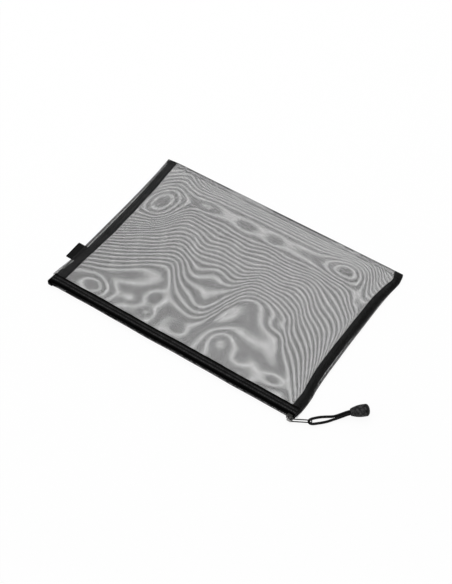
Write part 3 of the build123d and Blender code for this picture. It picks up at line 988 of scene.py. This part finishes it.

# Zip tapes, coils, cores and hem stitches. The upper lip is in two halves.
zipper = {
    "left": -161.3,
    "right": 168.9,
    "middle": 2.8,
    "edge": -106.7,
    "edgeDrop": 0.2,
    "edgeSoft": 0.15,
    "front": -118.5,
    "chain": 3.8,
    "half": 3.4,
    "thickness": 0.6,
    "bend": 1.8,
    "bendSteps": 7,
    "flatStop": 0.4,
    "flatKnots": 6,
    "split": 0.25,
    "splitReach": 0.6,
    "tapeStep": 2.0,
    "tapeWidth": 0.0139,  # of the flat tape, in metres
    "tapeCrease": 50,
    "coilY": -119.5,
    "coilZ": 1.35,
    "coilDepth": 0.66,
    "coilHeight": 1.08,
    "coilWire": 0.45,
    "coilPitch": 1.0,
    "coilStart": 0.5,
    "coilSteps": 10,
    "coilCorners": 5,
    "coilRight": 165.9,
    "coreWidth": 0.95,
    "coreStep": 0.5,
    "coreLay": 2.2,
    "coreOffset": 0.22,
    "coreCorners": 6,
    "hemRows": (-110.0, -113.2),
    "hemLevel": {1: 7.22, -1: 1.02},
    "ripple": 0.22,
    "rippleWaves": [(1.0, 21.0, 0.0), (0.6, 9.0, 1.0)],  # height, length, phase
    "rippleLift": (0.4, 14.0, 0.5),
    "rippleRun": 25.0,
    "rippleStop": 10.0,
    "bow": 0.8,
    "bowing": (-152.0, 9.0),
    "partStart": -148.6,
    "partEnd": -142.4,
    "partRun": 2.0,
    "partTape": 0.6,
    "partCoil": 0.36,
    "partSqueeze": 0.48,
    "openStart": 12.0,
    "openEnd": 95.0,
}


def ripple(points):
    moved = points.copy()
    x = points[..., 0]
    calm = easeUp(x, (zipper["partEnd"], zipper["rippleRun"]))
    calm = calm * easeDown(x, (zipper["right"] - zipper["rippleStop"], zipper["rippleRun"]))
    waves = sum(waveAlong(x, each) for each in zipper["rippleWaves"])
    moved[..., 1] += zipper["ripple"] * calm * waves
    moved[..., 1] -= zipper["bow"] * easeDown(x, zipper["bowing"])
    moved[..., 2] += zipper["ripple"] * calm * waveAlong(x, zipper["rippleLift"])
    return moved


def parting(x):
    # where the halves stand apart, for the wedge of the slider at its open end
    run = zipper["partRun"]
    return easeUp(x, (zipper["partStart"] - run, run)) * easeDown(x, (zipper["partEnd"] + run, run))


def tapeSection(up):
    flat, bend, thick = zipper["half"], zipper["bend"], zipper["thickness"]
    edge, front, split, soft = (zipper[name] for name in ("edge", "front", "split", "edgeSoft"))
    centreY, centreZ = front + bend, flat - bend
    arc = np.linspace(math.pi / 2, math.pi, zipper["bendSteps"])
    flats = np.linspace(edge - soft, centreY + zipper["flatStop"], zipper["flatKnots"])
    outline = [(edge, flat - zipper["edgeDrop"])] + [(y, flat) for y in flats]
    outline += [(centreY + bend * math.cos(a), centreZ + bend * math.sin(a)) for a in arc]
    outline += [(front, split), (front + thick, split)]
    inner = bend - thick
    outline += [(centreY + inner * math.cos(a), centreZ + inner * math.sin(a)) for a in arc[::-1]]
    outline += [(y, flat - thick) for y in flats[::-1]] + [(edge, flat - thick + soft)]
    return np.array([(y, zipper["chain"] + up * z) for y, z in outline])


def tapeSkin(up, start, end):
    section = tapeSection(up)
    rows = np.linspace(start, end, int((end - start) / zipper["tapeStep"]))
    rings = np.zeros((len(rows), len(section), 3))
    rings[..., 0] = rows[:, None]
    rings[..., 1:] = section[None]
    atSplit = np.abs(section[:, 1] - zipper["chain"]) < zipper["splitReach"]
    rings[..., 2] += up * zipper["partTape"] * parting(rows)[:, None] * atSplit[None]
    if up > 0:
        rings = rings[:, ::-1]
    return skin(ripple(rings))


def coilSkin(up, start, end):
    inset, pitch = zipper["coilStart"], zipper["coilPitch"]
    turns = np.arange(0, (end - start) / pitch - inset, 1 / zipper["coilSteps"])
    x = start + inset + turns * pitch
    y = zipper["coilY"] + zipper["coilDepth"] * np.cos(turns * 2 * math.pi)
    apart = parting(x)
    middle = zipper["chain"] + up * (zipper["coilZ"] + zipper["partCoil"] * apart)
    height = zipper["coilHeight"] - zipper["partSqueeze"] * apart
    path = np.stack([x, y, middle + height * np.sin(turns * 2 * math.pi)], axis=-1)[None]
    return threads(ripple(path), (1, 0, 0), zipper["coilWire"], corners=zipper["coilCorners"])


def coreSkin(up, start, end):
    rows = np.arange(start, end, zipper["coreStep"])
    middle = zipper["chain"] + up * (zipper["coilZ"] + zipper["partCoil"] * parting(rows))
    width, corners = zipper["coreWidth"] / 2, zipper["coreCorners"]
    plies = []
    for ply in range(2):
        lay = rows / zipper["coreLay"] * 2 * math.pi + ply * math.pi
        y = zipper["coilY"] + zipper["coreOffset"] * np.cos(lay)
        path = np.stack([rows, y, middle + zipper["coreOffset"] * np.sin(lay)], axis=-1)[None]
        plies.append(threads(ripple(path), (0, 1, 0), width, corners=corners))
    return joinSkins(plies)


def hemSkin(up, start, end):
    height = zipper["hemLevel"][up]
    skins = []
    for y in zipper["hemRows"]:
        points, faces = stitchRow((start, y, height), (end, y, height), (0, 1, 0))
        skins.append((ripple(points), faces))
    return joinSkins(skins)


zipLeft, zipMiddle, zipRight = zipper["left"], zipper["middle"], zipper["right"]
coilRight = zipper["coilRight"]
makers = [
    ("zipTape", "zip_tape_%s", tapeSkin, shadedFrontTape, "zip_tape", zipRight, zipper["tapeCrease"]),
    ("zipCoil", "zip_coil_%s", coilSkin, coilNylon, "coil", coilRight, 0),
    ("coilCore", "coil_core_%s", coreSkin, sewingThread, "thread", coilRight, 0),
    ("hemStitches", "%s_hem_stitches", hemSkin, sewingThread, "thread", zipRight, 0),
]
for name, node, maker, material, slotName, end, crease in makers:
    whole = addPiece(name + "Lower", maker(-1, zipLeft, end), material, crease)
    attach(whole, "wallet")
    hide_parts(node % "lower")
    halves = (("Left", zipLeft, zipMiddle, zipLeft, 1), ("Right", zipMiddle, end, zipRight, -1))
    for part, first, last, fixed, way in halves:
        half = addPiece(name + "Upper" + part, maker(1, first, last), material, crease)
        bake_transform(half)
        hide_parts(node % "upper")
print("stage zip")

# Folded end of the zip, round the left front corner
zipEnd = {
    "left": -167.6,
    "right": -161.0,
    "front": -121.7,
    "inner": -108.0,
    "shoulder": -163.0,
    "tailLeft": -166.4,
    "tail": -105.6,
    "low": 0.5,
    "high": 6.98,
    "corner": 2.6,
    "rightCorner": 0.3,
    "innerCorner": 1.2,
    "shoulderCorner": 1.5,
    "tailCorner": 1.6,
    "softness": 1.3,
    "steps": 7,
    "crease": 55,
}


def roundedOutline(corners, steps):
    outline = []
    count = len(corners)
    for i, (x, y, radius) in enumerate(corners):
        here = np.array([x, y])
        before = unit(np.array(corners[i - 1][:2]) - here)
        after = unit(np.array(corners[(i + 1) % count][:2]) - here)
        for t in np.linspace(0, 1, steps):
            first = here + before * radius * (1 - t)
            second = here + after * radius * t
            outline.append(first * (1 - t) + second * t)
    return np.array(outline)


def pillow(outline, low, high, softness, steps):
    before = unit(outline - np.roll(outline, 1, axis=0))
    after = unit(np.roll(outline, -1, axis=0) - outline)
    way = unit(before + after)
    inward = np.stack([-way[:, 1], way[:, 0]], axis=-1)
    levels = []
    for t in np.linspace(0, 1, steps):
        lean = t * math.pi / 2
        levels.append((softness * (1 - math.sin(lean)), low + softness * (1 - math.cos(lean))))
    levels += [(inset, low + high - z) for inset, z in levels[::-1]]
    count = len(outline)
    rings = [np.column_stack([outline + inward * inset, np.full(count, z)]) for inset, z in levels]
    return skin(np.array(rings))


zipEndOutline = roundedOutline([
    (zipEnd["left"], zipEnd["front"], zipEnd["corner"]),
    (zipEnd["right"], zipEnd["front"], zipEnd["rightCorner"]),
    (zipEnd["right"], zipEnd["inner"], zipEnd["innerCorner"]),
    (zipEnd["shoulder"], zipEnd["tail"], zipEnd["shoulderCorner"]),
    (zipEnd["tailLeft"], zipEnd["tail"], zipEnd["tailCorner"]),
], zipEnd["steps"])
zipEndSizes = (zipEnd[name] for name in ("low", "high", "softness", "steps"))
zipEndFold = addPiece(
    "zipEndFold", pillow(zipEndOutline, *zipEndSizes), shadedFrontTape, crease=zipEnd["crease"],
)
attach(zipEndFold, "wallet")
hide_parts("zip_end_fold")
print("stage zip end")

# Webbing tab, folded in two
tab = {
    "middle": -64.3,
    "half": 12.4,
    "root": -162.7,
    "reach": -176.0,
    "level": 1.65,
    "halfThick": 1.12,
    "gap": 0.16,
    "runKnots": 6,
    "bendSteps": 11,
    "rows": 150,
    "ribPitch": 1.05,
    "ribDepth": 0.16,
    "endRun": 0.7,
    "endSoft": 0.35,
    "wave": (0.12, 5.0, 0.0),
    "crease": 60,
}
tabBend = np.linspace(math.pi / 2, 3 * math.pi / 2, tab["bendSteps"])
tabTurn = tab["reach"] + tab["halfThick"]
tabRuns = np.linspace(tab["root"], tabTurn, tab["runKnots"])


def tabLine(offset):
    middle = tab["level"]  # one face of the webbing, out, round the fold and back
    line = [(x, middle + offset) for x in tabRuns]
    line += [(tabTurn + offset * math.cos(a), middle + offset * math.sin(a)) for a in tabBend]
    return np.array(line + [(x, middle - offset) for x in tabRuns[::-1]])


outerTab, innerTab = tabLine(tab["halfThick"]), tabLine(tab["gap"])
tabFront, tabRear = tab["middle"] - tab["half"], tab["middle"] + tab["half"]
tabRings = []
for y in np.linspace(tabFront, tabRear, tab["rows"]):
    rib = tab["ribDepth"] * (1 - abs(math.sin(math.pi * y / tab["ribPitch"])))
    end = ease(1 - (tab["half"] - abs(y - tab["middle"])) / tab["endRun"])
    drawn = outerTab + (innerTab - outerTab) * (rib + tab["endSoft"] * end)
    drawn[:, 1] += waveAlong(y, tab["wave"])
    ring = np.concatenate([drawn, innerTab[::-1]])
    tabRings.append(np.column_stack([ring[:, 0], np.full(len(ring), y), ring[:, 1]]))
loopTab = addPiece(
    "loopTab", skin(np.array(tabRings)), webbingRib, crease=tab["crease"],
)
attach(loopTab, "wallet")
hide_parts("loop_tab")
print("stage tab")

# Metal pieces keep their own solids
for node, plate in (("slider_body", nickelPlate), ("wire_puller", nickelPaintedDark)):
    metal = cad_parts[node]
    metal.data.materials.clear()
    metal.data.materials.append(plate)

# Floor, surroundings and lights
stage = {
    "floorSize": 6.0,
    "floorDrop": 0.0002,
    "floorShade": (0.95, 0.95, 0.95, 1),
    "floorGlow": 0.92,
    "white": (1, 1, 1, 1),
    "skyLight": 0.75,
    "lampPower": 9.0,
    "lampSize": 1.6,
    "lampPlace": (-0.5, 0.4, 1.5),
}


def lightNode(nodes, kind, strength):
    made = nodes.new(kind)
    made.inputs["Color"].default_value = stage["white"]
    made.inputs["Strength"].default_value = strength
    return made


def mixInto(nodes, links, outputKind, share, first, second):
    mixed = nodes.new("ShaderNodeMixShader")
    out = nodes.new(outputKind)
    links.new(share, mixed.inputs[0])
    links.new(first.outputs[0], mixed.inputs[1])
    links.new(second.outputs[0], mixed.inputs[2])
    links.new(mixed.outputs[0], out.inputs["Surface"])


bpy.ops.mesh.primitive_plane_add(size=stage["floorSize"], location=(0, 0, -stage["floorDrop"]))
floor = bpy.context.object
floor.name = "floor"
floorMaterial = bpy.data.materials.new("floorWhite")
floorMaterial.use_nodes = True
nodes, links = floorMaterial.node_tree.nodes, floorMaterial.node_tree.links
nodes.clear()
seen = nodes.new("ShaderNodeLightPath")
direct = sums(nodes, links, "MAXIMUM", seen.outputs["Is Camera Ray"], seen.outputs["Is Glossy Ray"])
direct = sums(nodes, links, "MAXIMUM", direct, seen.outputs["Is Transmission Ray"])
direct = sums(nodes, links, "MULTIPLY", direct, stage["floorGlow"])
matt = nodes.new("ShaderNodeBsdfDiffuse")
matt.inputs["Color"].default_value = stage["floorShade"]
glow = lightNode(nodes, "ShaderNodeEmission", 1.0)
mixInto(nodes, links, "ShaderNodeOutputMaterial", direct, matt, glow)
floor.data.materials.append(floorMaterial)

world = bpy.data.worlds.new("surroundings")
scene.world = world
world.use_nodes = True
nodes, links = world.node_tree.nodes, world.node_tree.links
nodes.clear()
seen = nodes.new("ShaderNodeLightPath")
sky = lightNode(nodes, "ShaderNodeBackground", stage["skyLight"])
backdrop = lightNode(nodes, "ShaderNodeBackground", 1.0)
mixInto(nodes, links, "ShaderNodeOutputWorld", seen.outputs["Is Camera Ray"], sky, backdrop)

lamp = bpy.data.objects.new("lamp", bpy.data.lights.new("lamp", "AREA"))
lamp.data.energy = stage["lampPower"]
lamp.data.size = stage["lampSize"]
lamp.location = stage["lampPlace"]
lamp.rotation_mode = "QUATERNION"
lamp.rotation_quaternion = (-lamp.location).to_track_quat("-Z", "Y")
scene.collection.objects.link(lamp)
print("stage light")
